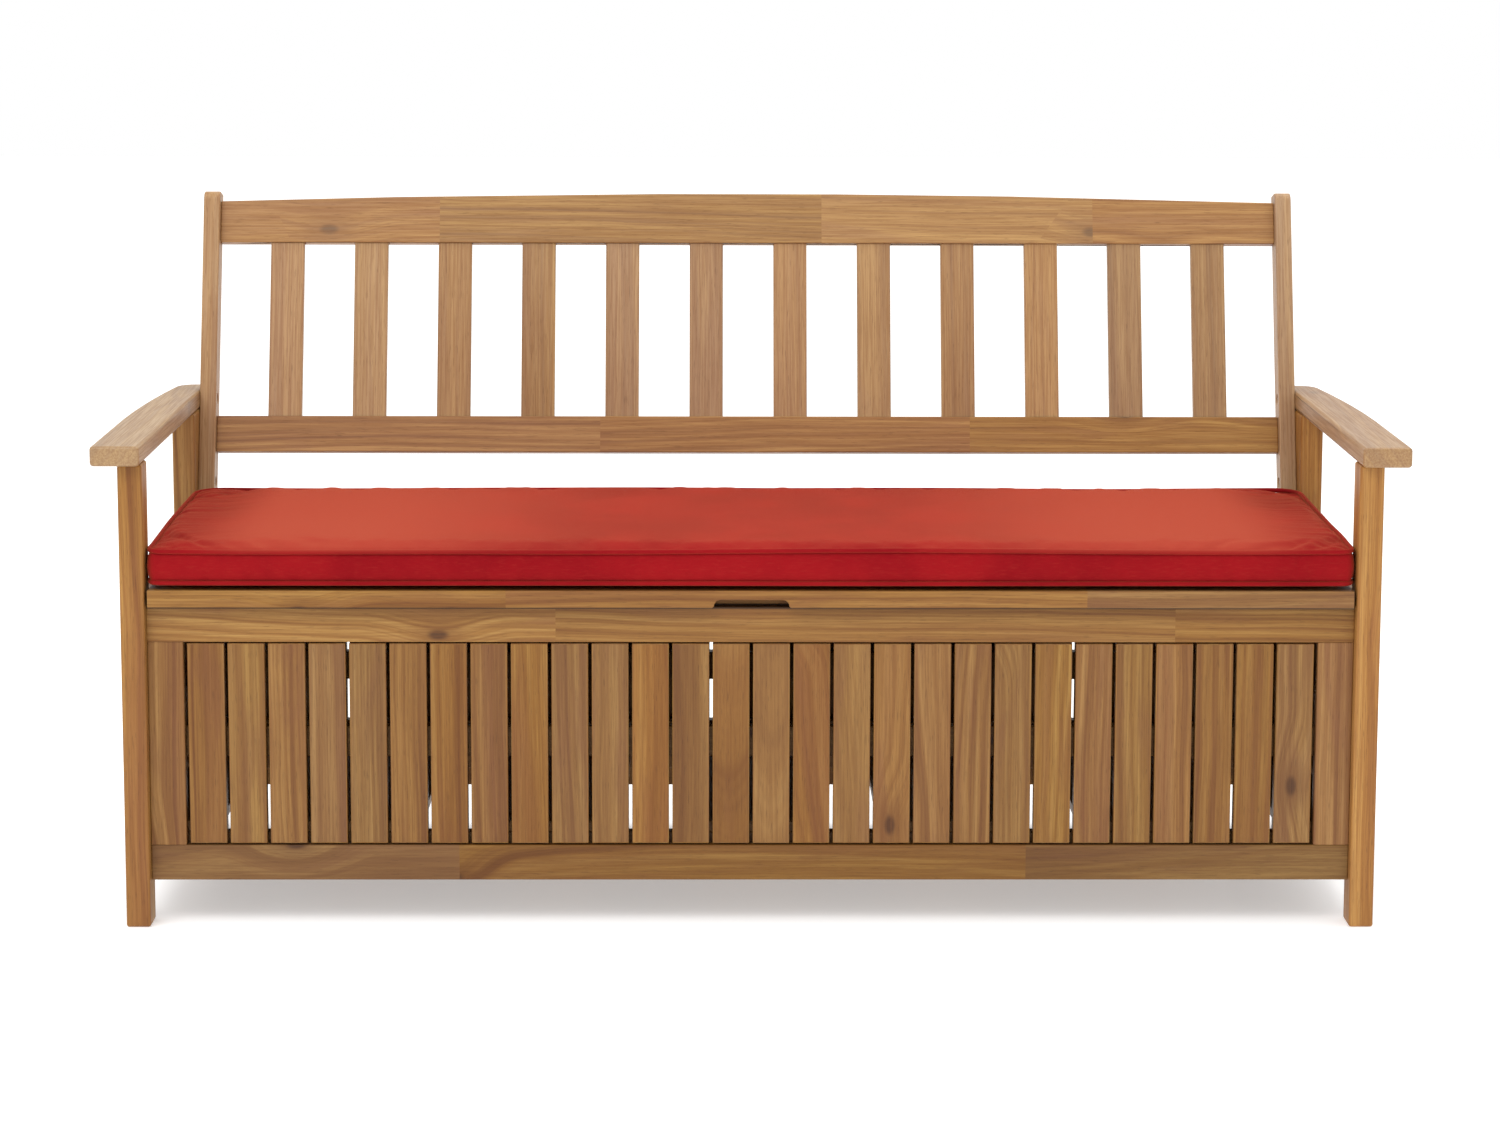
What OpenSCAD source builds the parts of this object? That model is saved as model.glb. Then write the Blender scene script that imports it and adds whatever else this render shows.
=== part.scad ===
// Garden storage bench: slatted box with a lift-up lid seat, a leaning slatted back,
// flat arms and a loose seat cushion. Millimetres, +Z up, front towards -Y.
// The origin is on the ground under the middle of the bench.

/* [Overall] */
// Width over the outer edges of the arms
overall_w = 1600; // [1500:10:1700]
// Height of the seat, at the top of the lid
seat_h = 422; // [415:1:430]
// Height of the top of the arms
arm_h = 602; // [595:1:620]
// Depth from the front of the front legs to the back of the rear legs
legs_d = 538; // [530:1:560]

/* [Legs and arms] */
// Thickness of the legs, across the bench
leg_w = 30; // [26:1:34]
// Depth of a front leg
front_leg_d = 42; // [38:1:46]
// Depth of a rear leg
rear_leg_d = 94; // [90:1:100]
// Thickness of an arm
arm_t = 25; // [22:1:28]
// Width of an arm at the front
arm_w = 60; // [56:1:64]
// How much narrower an arm is at the back
arm_taper = 20; // [10:1:22]
// How far an arm stands out in front of the front leg
arm_nose = 18; // [12:1:24]
// How far an arm runs on behind the rear leg
arm_tail = 30; // [20:1:40]

/* [Back] */
// Lean of the back from upright, in degrees
lean = 15.5; // [14:0.5:16.5]
// Length of a back post along its slope
post_len = 462; // [440:1:480]
// Thickness of a back post, across the bench
post_w = 22; // [20:1:26]
// Depth of a back post, square to its slope
post_d = 35; // [32:1:38]
// Thickness of the two back rails
back_rail_t = 20; // [18:1:22]
// Rise of the top rail's arched upper edge
crown = 11.5; // [4:0.5:14]
// Number of slats in the back
back_slat_n = 12; // [10:1:12]
// Width of a back slat
back_slat_w = 45.3; // [40:0.1:48]
// Thickness of a back slat
back_slat_t = 13; // [11:1:14]

/* [Box panels] */
// Thickness of the panels' rails and stiles
frame_t = 18; // [16:1:20]
// Width of the panels' rails and stiles
frame_w = 44; // [40:1:46]
// Height of the panels' lower edge above the ground
panel_z = 56; // [50:1:70]
// Number of slats in the front panel and in the rear panel
panel_slat_n = 28; // [26:1:28]
// Number of slats in a side panel
side_slat_n = 8; // [7:1:8]
// Width of a panel slat
panel_slat_w = 45.2; // [42:0.1:46]
// Thickness of a panel slat
panel_slat_t = 16; // [14:1:16]

/* [Lid] */
// Thickness of the lid's frame
lid_t = 22; // [20:1:24]
// Width of the lid's frame rails
lid_rail_w = 45; // [42:1:50]
// Number of slats in the lid
lid_slat_n = 5; // [4:1:6]
// Width of the finger notch at its mouth
notch_w = 102; // [90:1:120]
// Height of the finger notch
notch_h = 11; // [8:1:12]

/* [Cushion] */
// Thickness of the seat cushion
cushion_t = 56; // [40:0.5:58]
// Gap between the cushion and the arms' inner faces
cushion_gap = 2; // [2:1:15]

/* [Hidden] */
$fn = 48;
SLAT_NODES = ["back_slat_01", "back_slat_02", "back_slat_03", "back_slat_04", "back_slat_05", "back_slat_06",
              "back_slat_07", "back_slat_08", "back_slat_09", "back_slat_10", "back_slat_11", "back_slat_12"];

wood = "#b08657";
wood_light = "#b9915f";
wood_dark = "#9a6c46";
steel = "#8d9094";
cloth = "#b32a2a";

// Legs
leg_out = overall_w / 2 - (arm_w - leg_w);
leg_in = leg_out - leg_w;
leg_h = arm_h - arm_t;
legs_front = -(legs_d + 52) / 2;
front_leg_back = legs_front + front_leg_d;
rear_leg_back = legs_front + legs_d;
rear_leg_front = rear_leg_back - rear_leg_d;

// Panels
lid_gap = 0.5;
cushion_lift = 0.4;
panel_top = seat_h - lid_t - lid_gap;
panel_front = legs_front + 15;
panel_back = rear_leg_back - 15;
rail_top_z = panel_top - frame_w;
slat_gap_z = 2;
groove_d = 10;
tongue_t = 5;
tongue_y = 10;
tenon_l = 12;
tenon_t = 8;
tenon_inset = 8;
rail_span = 2 * leg_in;
front_span = rail_span - 2 * frame_w;
side_span = rear_leg_front - front_leg_back;
side_mid = (rear_leg_front + front_leg_back) / 2;
side_out = leg_out - (leg_w - frame_t) / 2;
batten_t = 20;
batten_w = 38;
batten_z = 208;
batten_end = leg_in - 12;
side_batten_t = 16;

// Floor
ledger_w = 28;
floor_t = 14;
floor_lift = 12;
floor_z = panel_z + frame_w + floor_lift;
low_batten_z = floor_z + floor_t + 1;
low_batten_w = 24;
board_pitch = 250;
board_w = 185;
floor_half = leg_in - 1;
floor_front = panel_front + frame_t;
floor_back = panel_back - frame_t;

// Hinges, on one line along X just behind the lid
hinge_y = rear_leg_front - 6;
hinge_z = seat_h - 4;
knuckle_r = 4;
pin_r = 2;
pin_play = 0.05;
wood_play = 4.5;
leaf_t = 1.5;
leaf_h = 16;
leaf_notch = 5;
knuckle_l = 25;
knuckle_play = 0.5;
hinge_x = [-500, 0, 500];
hinge_l = 3 * knuckle_l;
screw_r = 1.5;
screw_head_r = 3;
screw_l = 20;
screw_z = hinge_z - 10;

// Rear seat board, behind the hinge line
board_front = hinge_y + wood_play;
board_back = panel_back + 2;

// Lid
lid_half = leg_in - 3.5;
lid_front = legs_front;
lid_back = hinge_y - wood_play;
lid_inner_front = lid_front + lid_rail_w;
lid_inner_back = lid_back - lid_rail_w;
lid_slat_t = 16;
lid_slat_z = seat_h - 2 - lid_slat_t;
lid_slat_gap = 4;
lid_slat_w = (lid_inner_back - lid_inner_front - (lid_slat_n + 1) * lid_slat_gap) / lid_slat_n;
lid_tenon = 12;
lid_tenon_t = 8;
lid_tenon_z = seat_h - (lid_t + lid_tenon_t) / 2;
lid_tenon_inset = 8;
lid_batten_w = 40;
lid_batten_t = 16;
lid_batten_x = [-345, 0, 345];
notch_side = 13;
notch_r = 8;
notch_d = 28;

// Back, in its own leaning frame: u runs up the post and v runs backwards, square to it
back_foot = rear_leg_front + 7;
post_gap = 2;
post_in = leg_in - post_w;
post_nose_r = 12;
rail_set = 12;
back_tenon = 12;
back_tenon_set = 4;
back_tenon_inset = 8;
lower_rail_u = [105, 154];
top_rail_u = [392, 449];
slat_set = 15;
slat_pitch = (2 * post_in - back_slat_n * back_slat_w) / (back_slat_n + 1) + back_slat_w;

// Fasteners
dowel_r = 4;
dowel_l = 40;
bolt_r = 3;
bolt_head_r = 6;
bolt_head_h = 3;
counterbore_r = 6.75;
counterbore_d = 5;
head_x = post_in + counterbore_d - bolt_head_h;
socket_r = 2.3;
socket_d = 2;
insert_r = 5;
insert_l = 15;
bolt_l = post_w - counterbore_d + insert_l;
bolt_z = [seat_h + 58, arm_h - arm_t / 2];

// ---------- helpers ----------

// A box from one corner to the opposite one
module span(from, to) {
    translate(from)
        cube(to - from);
}

// The same shape on the left and on the right
module both_sides() {
    children();
    mirror([1, 0, 0])
        children();
}

// Places the leaning frame of the back
module back_frame() {
    translate([0, back_foot, seat_h])
        rotate([-lean, 0, 0])
            children();
}

// Draws an outline in the Y-Z plane and gives it a thickness along X
module side_profile(x, w) {
    translate([x, 0, 0])
        rotate([90, 0, 90])
            linear_extrude(w)
                children();
}

// Middle of a back post, front to back, at a given height
function post_mid(z) = back_foot + (z - seat_h) * tan(lean) + post_d / 2 / cos(lean);

// A cylinder along X from x0, and one along Z from z0
module rod_x(x0, y, z, r, l) {
    translate([x0, y, z])
        rotate([0, 90, 0])
            cylinder(r = r, h = l);
}

module rod_z(x, y, z0, r, l) {
    translate([x, y, z0])
        cylinder(r = r, h = l);
}

// ---------- panels, drawn along X with their outer face at Y = 0 ----------

// A rail with a stub tenon on each end and a groove along one edge for the slats' tongues
module panel_rail(length, z0, groove_z) {
    difference() {
        union() {
            span([-length / 2, 0, z0], [length / 2, frame_t, z0 + frame_w]);
            span([-length / 2 - tenon_l, (frame_t - tenon_t) / 2, z0 + tenon_inset],
                 [length / 2 + tenon_l, (frame_t + tenon_t) / 2, z0 + frame_w - tenon_inset]);
        }
        span([-length / 2, tongue_y, groove_z], [length / 2, tongue_y + tongue_t, groove_z + groove_d]);
    }
}

module top_rail(length) {
    panel_rail(length, rail_top_z, rail_top_z);
}

module bottom_rail(length) {
    panel_rail(length, panel_z, panel_z + frame_w - groove_d);
}

module rail_pair(length) {
    top_rail(length);
    bottom_rail(length);
}

// Upright slats with a tongue on each end
module panel_slats(length, count) {
    gap = (length - count * panel_slat_w) / (count + 1);
    y0 = frame_t - panel_slat_t;
    y1 = tongue_y;
    z0 = panel_z + frame_w;
    for (i = [0 : count - 1]) {
        x = -length / 2 + gap + i * (panel_slat_w + gap);
        span([x, y0, z0 + slat_gap_z], [x + panel_slat_w, frame_t, rail_top_z - slat_gap_z]);
        span([x, y1, z0 - groove_d], [x + panel_slat_w, y1 + tongue_t, z0 + slat_gap_z]);
        span([x, y1, rail_top_z - slat_gap_z],
             [x + panel_slat_w, y1 + tongue_t, rail_top_z + groove_d - slat_gap_z]);
    }
}

module place_front() {
    translate([0, panel_front, 0])
        children();
}

module place_rear() {
    translate([0, panel_back, 0])
        rotate([0, 0, 180])
            children();
}

module place_side() {
    translate([side_out, side_mid, 0])
        rotate([0, 0, 90])
            children();
}

// ---------- fasteners ----------

module panel_dowels() {
    both_sides()
        for (y = [panel_front + frame_t / 2, panel_back - frame_t / 2], z = [150, 300])
            rod_x(leg_in - dowel_l / 2, y, z, dowel_r, dowel_l);
}

module seat_dowels() {
    both_sides()
        for (y = [board_front + 22, board_front + 58])
            rod_x(leg_in - dowel_l / 2, y, seat_h - lid_t / 2, dowel_r, dowel_l);
}

module arm_dowels() {
    both_sides()
        for (y = [legs_front + 11, legs_front + 31, rear_leg_front + 18, rear_leg_front + 50])
            rod_z(leg_in + leg_w / 2, y, leg_h - dowel_l / 2, dowel_r, dowel_l - 4);
}

module dowels() {
    color(wood_light) {
        panel_dowels();
        seat_dowels();
        arm_dowels();
    }
}

// Furniture bolts with a flat head and a hexagon socket, sunk in the posts' inner faces
module post_bolts() {
    color(steel)
        both_sides()
            for (z = bolt_z)
                difference() {
                    union() {
                        rod_x(head_x, post_mid(z), z, bolt_head_r, bolt_head_h);
                        rod_x(post_in + counterbore_d, post_mid(z), z, bolt_r, bolt_l);
                    }
                    translate([head_x, post_mid(z), z])
                        rotate([0, 90, 0])
                            cylinder(r = socket_r, h = socket_d, $fn = 6);
                }
}

module bolt_holes() {
    both_sides()
        for (z = bolt_z) {
            rod_x(post_in - 1, post_mid(z), z, counterbore_r, counterbore_d + 1);
            rod_x(post_in + counterbore_d, post_mid(z), z, bolt_r, bolt_l);
        }
}

module insert_blanks() {
    both_sides()
        for (z = bolt_z)
            rod_x(leg_in, post_mid(z), z, insert_r, insert_l);
}

// Threaded sleeves that take the bolts, set in the arms and the rear legs
module bolt_inserts() {
    color(steel)
        difference() {
            insert_blanks();
            bolt_holes();
        }
}

// ---------- legs and arms ----------

module front_leg() {
    difference() {
        span([leg_in, legs_front, 0], [leg_out, front_leg_back, leg_h]);
        place_side()
            rail_pair(side_span);
        place_front()
            rail_pair(rail_span);
        panel_dowels();
        arm_dowels();
    }
}

module rear_leg() {
    difference() {
        span([leg_in, rear_leg_front, 0], [leg_out, rear_leg_back, leg_h]);
        place_side()
            rail_pair(side_span);
        place_rear()
            rail_pair(rail_span);
        panel_dowels();
        seat_dowels();
        arm_dowels();
        insert_blanks();
    }
}

// Plan of an arm: straight inside edge, outside edge bending in towards a rounded rear corner
module arm_plan() {
    front = legs_front - arm_nose;
    back = rear_leg_back + arm_tail;
    x_front = leg_in + arm_w;
    x_back = x_front - arm_taper;
    taper_from = front + (back - front) * 0.35;
    tail_r = 26;
    taper_to = back - tail_r;
    steps = 12;
    polygon(concat(
        [[leg_in, back], [leg_in, front], [x_front, front]],
        [for (i = [0 : steps - 1]) [x_front - arm_taper * pow(i / steps, 2),
                                    taper_from + (taper_to - taper_from) * i / steps]],
        [for (a = [0 : 15 : 90]) [x_back - tail_r + tail_r * cos(a), back - tail_r + tail_r * sin(a)]]));
}

module arm() {
    difference() {
        translate([0, 0, leg_h])
            linear_extrude(arm_t)
                arm_plan();
        arm_dowels();
        insert_blanks();
    }
}

module front_leg_right() { color(wood) front_leg(); }
module front_leg_left() { mirror([1, 0, 0]) front_leg_right(); }
module rear_leg_right() { color(wood) rear_leg(); }
module rear_leg_left() { mirror([1, 0, 0]) rear_leg_right(); }
module arm_right() { color(wood_light) arm(); }
module arm_left() { mirror([1, 0, 0]) arm_right(); }

// ---------- back ----------

// Height u at which a line at depth v meets the level cut under the post
function post_foot(v) = (post_gap + v * sin(lean)) / cos(lean);

module back_post() {
    difference() {
        back_frame()
            side_profile(post_in, post_w)
                polygon(concat(
                    [[0, post_foot(0)], [post_d, post_foot(post_d)], [post_d, post_len]],
                    [for (a = [90 : 15 : 180]) [post_nose_r + post_nose_r * cos(a),
                                                post_len - post_nose_r + post_nose_r * sin(a)]]));
        back_top_rail_blank();
        back_lower_rail_blank();
        bolt_holes();
    }
}

module back_rail_tenons(u0, u1) {
    span([-post_in - back_tenon, rail_set + back_tenon_set, u0 + back_tenon_inset],
         [post_in + back_tenon, rail_set + back_rail_t - back_tenon_set, u1 - back_tenon_inset]);
}

module back_top_rail_blank() {
    steps = 24;
    back_frame() {
        translate([0, rail_set + back_rail_t, 0])
            rotate([90, 0, 0])
                linear_extrude(back_rail_t)
                    polygon(concat(
                        [[post_in, top_rail_u[0]], [-post_in, top_rail_u[0]]],
                        [for (i = [0 : steps]) let (x = -1 + 2 * i / steps)
                            [x * post_in, top_rail_u[1] + crown * (1 - x * x)]]));
        back_rail_tenons(top_rail_u[0], top_rail_u[1]);
    }
}

module back_lower_rail_blank() {
    back_frame() {
        span([-post_in, rail_set, lower_rail_u[0]], [post_in, rail_set + back_rail_t, lower_rail_u[1]]);
        back_rail_tenons(lower_rail_u[0], lower_rail_u[1]);
    }
}

// Back slat i, counted from the left, with its ends let into both rails
module back_slat(i) {
    x = (i - (back_slat_n - 1) / 2) * slat_pitch;
    color(i % 3 == 1 ? wood_dark : wood_light)
        back_frame()
            span([x - back_slat_w / 2, slat_set, lower_rail_u[1] - back_tenon],
                 [x + back_slat_w / 2, slat_set + back_slat_t, top_rail_u[0] + back_tenon]);
}

module back_slats() {
    for (i = [0 : back_slat_n - 1])
        back_slat(i);
}

module back_post_right() { color(wood) back_post(); }
module back_post_left() { mirror([1, 0, 0]) back_post_right(); }

module back_top_rail() {
    color(wood)
        difference() {
            back_top_rail_blank();
            back_slats();
        }
}

module back_lower_rail() {
    color(wood)
        difference() {
            back_lower_rail_blank();
            back_slats();
        }
}

// ---------- front and rear panels ----------

module front_top_rail() { color(wood) place_front() top_rail(rail_span); }
module front_bottom_rail() { color(wood_dark) place_front() bottom_rail(rail_span); }
module front_slats() { color(wood_light) place_front() panel_slats(front_span, panel_slat_n); }
module rear_top_rail() { color(wood) place_rear() top_rail(rail_span); }
module rear_bottom_rail() { color(wood_dark) place_rear() bottom_rail(rail_span); }
module rear_slats() { color(wood_light) place_rear() panel_slats(front_span, panel_slat_n); }

// An upright at the end of a panel, between the rails, with a stub tenon in each rail's groove
module stile() {
    x = leg_in - frame_w;
    z = panel_z + frame_w;
    span([x, 0, z], [leg_in, frame_t, rail_top_z]);
    span([x, tongue_y, z - groove_d], [leg_in, tongue_y + tongue_t, rail_top_z + groove_d]);
}

module front_stile_right() {
    color(wood)
        difference() {
            place_front() stile();
            panel_dowels();
        }
}

module front_stile_left() { mirror([1, 0, 0]) front_stile_right(); }

module rear_stile_right() {
    color(wood)
        difference() {
            place_rear() mirror([1, 0, 0]) stile();
            panel_dowels();
        }
}

module rear_stile_left() { mirror([1, 0, 0]) rear_stile_right(); }

// Battens screwed across the backs of the slats
module front_batten() {
    color(wood_dark)
        span([-batten_end, floor_front, batten_z], [batten_end, floor_front + batten_t, batten_z + batten_w]);
}

module rear_battens() {
    color(wood_dark) {
        span([-batten_end, floor_back - batten_t, batten_z], [batten_end, floor_back, batten_z + batten_w]);
        span([-batten_end, floor_back - batten_t, low_batten_z],
             [batten_end, floor_back, low_batten_z + low_batten_w]);
    }
}

// ---------- side panels ----------

module side_top_rail_right() { color(wood) place_side() top_rail(side_span); }
module side_top_rail_left() { mirror([1, 0, 0]) side_top_rail_right(); }
module side_bottom_rail_right() { color(wood_dark) place_side() bottom_rail(side_span); }
module side_bottom_rail_left() { mirror([1, 0, 0]) side_bottom_rail_right(); }
module side_slats_right() { color(wood_light) place_side() panel_slats(side_span, side_slat_n); }
module side_slats_left() { mirror([1, 0, 0]) side_slats_right(); }

module side_battens() {
    x = side_out - frame_t;
    color(wood_dark)
        both_sides()
            span([x - side_batten_t, floor_front + batten_t + 1, batten_z],
                 [x, rear_leg_front, batten_z + batten_w]);
}

// ---------- floor ----------

// Boards from front to back: whole ones in the middle and a narrow one at each end
module floor_boards() {
    gap = board_pitch - board_w;
    color(wood_dark) {
        for (i = [-2 : 2])
            span([i * board_pitch - board_w / 2, floor_front, floor_z],
                 [i * board_pitch + board_w / 2, floor_back, floor_z + floor_t]);
        both_sides()
            span([2 * board_pitch + board_w / 2 + gap, floor_front, floor_z],
                 [floor_half, floor_back, floor_z + floor_t]);
    }
}

module floor_ledgers() {
    color(wood_dark)
        for (y = [floor_front, floor_back - batten_t])
            span([-floor_half, y, floor_z - ledger_w], [floor_half, y + batten_t, floor_z]);
}

// ---------- seat board and hinges ----------

module rear_seat_board() {
    color(wood)
        difference() {
            span([-leg_in, board_front, seat_h - lid_t], [leg_in, board_back, seat_h]);
            seat_dowels();
            hinge_screws(1);
        }
}

// Knuckles of one hinge: the outer two are fixed and the middle one rides with the lid
module outer_knuckles(r, grow) {
    for (s = [-1, 1])
        rod_x(s * knuckle_l - knuckle_l / 2 - grow, hinge_y, hinge_z, r, knuckle_l + 2 * grow);
}

module middle_knuckle(r, grow) {
    rod_x(-knuckle_l / 2 - grow, hinge_y, hinge_z, r, knuckle_l + 2 * grow);
}

// A leaf hanging from the hinge line; side is 1 on the seat board and -1 on the lid
module leaf(side) {
    y = hinge_y + side * (wood_play - leaf_t / 2);
    translate([-hinge_l / 2, y - leaf_t / 2, hinge_z - leaf_h])
        cube([hinge_l, leaf_t, leaf_h]);
}

module at_hinges() {
    for (x = hinge_x)
        translate([x, 0, 0])
            children();
}

// Clears a leaf around the other leaf's knuckles
module leaf_clearance(x0, l) {
    span([x0, hinge_y - wood_play - 1, hinge_z - leaf_notch], [x0 + l, hinge_y + wood_play + 1, hinge_z + 1]);
}

module hinge_fixed_leaves() {
    color(steel)
        difference() {
            at_hinges()
                difference() {
                    union() {
                        leaf(1);
                        outer_knuckles(knuckle_r, 0);
                    }
                    leaf_clearance(-knuckle_l / 2, knuckle_l);
                    rod_x(-hinge_l / 2, hinge_y, hinge_z, pin_r, hinge_l);
                }
            hinge_screws(1);
        }
}

module hinge_lid_leaves() {
    play = knuckle_play;
    color(steel)
        difference() {
            at_hinges()
                difference() {
                    union() {
                        difference() {
                            leaf(-1);
                            for (s = [-1, 1])
                                leaf_clearance(s * knuckle_l - knuckle_l / 2 - play, knuckle_l + 2 * play);
                        }
                        middle_knuckle(knuckle_r, -play);
                    }
                    rod_x(-hinge_l / 2, hinge_y, hinge_z, pin_r + pin_play, hinge_l);
                }
            hinge_screws(-1);
        }
}

module hinge_pins() {
    color(steel)
        at_hinges()
            rod_x(-hinge_l / 2, hinge_y, hinge_z, pin_r, hinge_l);
}

// Countersunk screws through a leaf into the wood behind it
module hinge_screws(side) {
    y = hinge_y + side * (wood_play - leaf_t);
    for (x = hinge_x, dx = [-26, 0, 26])
        translate([x + dx, y, screw_z])
            rotate([-side * 90, 0, 0]) {
                cylinder(r1 = screw_head_r, r2 = screw_r, h = leaf_t);
                cylinder(r = screw_r, h = screw_l);
            }
}

module hinge_screws_fixed() { color(steel) hinge_screws(1); }
module hinge_screws_lid() { color(steel) hinge_screws(-1); }

// ---------- lid ----------

// Outline of the finger notch, seen from the front: a small flare at the mouth, then a rounded upper corner
module notch_outline() {
    half = notch_w / 2;
    z0 = seat_h - lid_t;
    flare = notch_side - notch_r;
    foot = notch_h - notch_r;
    right = concat(
        [for (a = [90 : -15 : 0]) [half - notch_side + notch_r * cos(a), z0 + foot + notch_r * sin(a)]],
        [[half - flare * 0.6, z0 + foot * 0.3], [half, z0], [half, z0 - 1]]);
    left = [for (i = [len(right) - 1 : -1 : 0]) [-right[i][0], right[i][1]]];
    polygon(concat(left, right));
}

module lid_front_rail() {
    color(wood)
        difference() {
            span([-lid_half, lid_front, seat_h - lid_t], [lid_half, lid_inner_front, seat_h]);
            translate([0, lid_front + notch_d, 0])
                rotate([90, 0, 0])
                    linear_extrude(notch_d + 1)
                        notch_outline();
            lid_ends();
        }
}

module lid_rear_rail() {
    color(wood)
        difference() {
            span([-lid_half, lid_inner_back, seat_h - lid_t], [lid_half, lid_back, seat_h]);
            lid_ends();
            hinge_screws(-1);
        }
}

// End rail of the lid, tenoned into its front and rear rails
module lid_end() {
    x = lid_half - lid_rail_w;
    span([x, lid_inner_front, seat_h - lid_t], [lid_half, lid_inner_back, seat_h]);
    span([x + lid_tenon_inset, lid_inner_front - lid_tenon, lid_tenon_z],
         [lid_half - lid_tenon_inset, lid_inner_back + lid_tenon, lid_tenon_z + lid_tenon_t]);
}

module lid_ends() {
    both_sides()
        lid_end();
}

module lid_end_right() {
    color(wood)
        difference() {
            lid_end();
            lid_slats();
        }
}

module lid_end_left() { mirror([1, 0, 0]) lid_end_right(); }

module lid_slats() {
    color(wood_light)
        for (i = [0 : lid_slat_n - 1]) {
            y = lid_inner_front + lid_slat_gap + i * (lid_slat_w + lid_slat_gap);
            half = lid_half - lid_rail_w + lid_tenon;
            span([-half, y, lid_slat_z], [half, y + lid_slat_w, lid_slat_z + lid_slat_t]);
        }
}

module lid_battens() {
    color(wood_dark)
        for (x = lid_batten_x)
            span([x - lid_batten_w / 2, lid_inner_front + lid_slat_gap, lid_slat_z - lid_batten_t],
                 [x + lid_batten_w / 2, lid_inner_back - lid_slat_gap, lid_slat_z]);
}

// ---------- cushion ----------

// Loose seat cushion, square at the front and rounded at its rear corners
module cushion() {
    half = leg_in - cushion_gap;
    front = lid_front + 3;
    back = hinge_y + 4;
    corner_r = 30;
    x0 = half - corner_r;
    y0 = back - corner_r;
    color(cloth)
        translate([0, 0, seat_h + cushion_lift])
            linear_extrude(cushion_t)
                polygon(concat(
                    [[-half, front], [half, front]],
                    [for (a = [0 : 15 : 90]) [x0 + corner_r * cos(a), y0 + corner_r * sin(a)]],
                    [for (a = [90 : 15 : 180]) [-x0 + corner_r * cos(a), y0 + corner_r * sin(a)]]));
}

front_leg_left();
front_leg_right();
rear_leg_left();
rear_leg_right();
arm_left();
arm_right();
back_post_left();
back_post_right();
back_top_rail();
back_lower_rail();
front_top_rail();
front_bottom_rail();
front_stile_left();
front_stile_right();
front_slats();
front_batten();
rear_top_rail();
rear_bottom_rail();
rear_stile_left();
rear_stile_right();
rear_slats();
rear_battens();
side_top_rail_left();
side_top_rail_right();
side_bottom_rail_left();
side_bottom_rail_right();
side_slats_left();
side_slats_right();
side_battens();
floor_boards();
floor_ledgers();
rear_seat_board();
dowels();
post_bolts();
bolt_inserts();
hinge_fixed_leaves();
hinge_pins();
hinge_screws_fixed();
lid_front_rail();
lid_rear_rail();
lid_end_left();
lid_end_right();
lid_slats();
lid_battens();
hinge_lid_leaves();
hinge_screws_lid();
cushion();
for (i = [0 : back_slat_n - 1])
    back_slat(i);
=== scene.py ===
"""Garden storage bench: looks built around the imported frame. Metres, +Z up, front towards -Y."""
import math

import bpy
from mathutils import Euler, Matrix, Vector, noise


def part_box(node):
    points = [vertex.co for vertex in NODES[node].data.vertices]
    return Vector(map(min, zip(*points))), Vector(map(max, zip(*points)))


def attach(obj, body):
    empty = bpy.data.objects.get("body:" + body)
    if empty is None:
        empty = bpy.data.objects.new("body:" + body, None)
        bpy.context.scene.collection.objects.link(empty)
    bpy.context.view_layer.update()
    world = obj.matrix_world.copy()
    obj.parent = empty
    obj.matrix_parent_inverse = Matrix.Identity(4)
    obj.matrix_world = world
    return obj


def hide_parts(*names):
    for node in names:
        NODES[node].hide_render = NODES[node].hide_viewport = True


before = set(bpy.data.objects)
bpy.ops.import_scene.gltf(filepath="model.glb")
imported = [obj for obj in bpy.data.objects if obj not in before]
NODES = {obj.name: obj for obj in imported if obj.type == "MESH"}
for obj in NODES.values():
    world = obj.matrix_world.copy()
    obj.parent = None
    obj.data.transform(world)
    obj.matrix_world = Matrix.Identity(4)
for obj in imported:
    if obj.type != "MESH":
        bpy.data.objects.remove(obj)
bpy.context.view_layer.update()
# Lean of the back posts and back slats from upright
LEAN = math.radians(15.5)


# ---------- camera and light ----------

CAM_PLACE = (-0.046, -4.578, 1.234)
CAM_YAW = math.radians(0.58)
CAM_PITCH = math.radians(7.87)
CAM_ROLL = math.radians(0.15)
# Lens and sensor width in millimetres, and the shift as a share of the sensor's width
CAM_LENS = 85.7
CAM_SENSOR = 36
CAM_SHIFT = -0.1


def make_camera():
    data = bpy.data.cameras.new("camera")
    data.lens = CAM_LENS
    data.sensor_width = CAM_SENSOR
    data.shift_y = CAM_SHIFT
    cam = bpy.data.objects.new("camera", data)
    bpy.context.scene.collection.objects.link(cam)
    level = Euler((math.pi / 2 - CAM_PITCH, 0, -CAM_YAW)).to_matrix()
    turn = level @ Matrix.Rotation(CAM_ROLL, 3, "Z")
    cam.matrix_world = Matrix.Translation(CAM_PLACE) @ turn.to_4x4()
    bpy.context.scene.camera = cam


def area_light(name, place, target, size, power):
    data = bpy.data.lights.new(name, "AREA")
    data.shape = "RECTANGLE"
    data.size, data.size_y = size
    data.energy = power
    lamp = bpy.data.objects.new(name, data)
    bpy.context.scene.collection.objects.link(lamp)
    lamp.location = place
    lamp.rotation_euler = (Vector(target) - Vector(place)).to_track_quat("-Z", "Y").to_euler()


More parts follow.
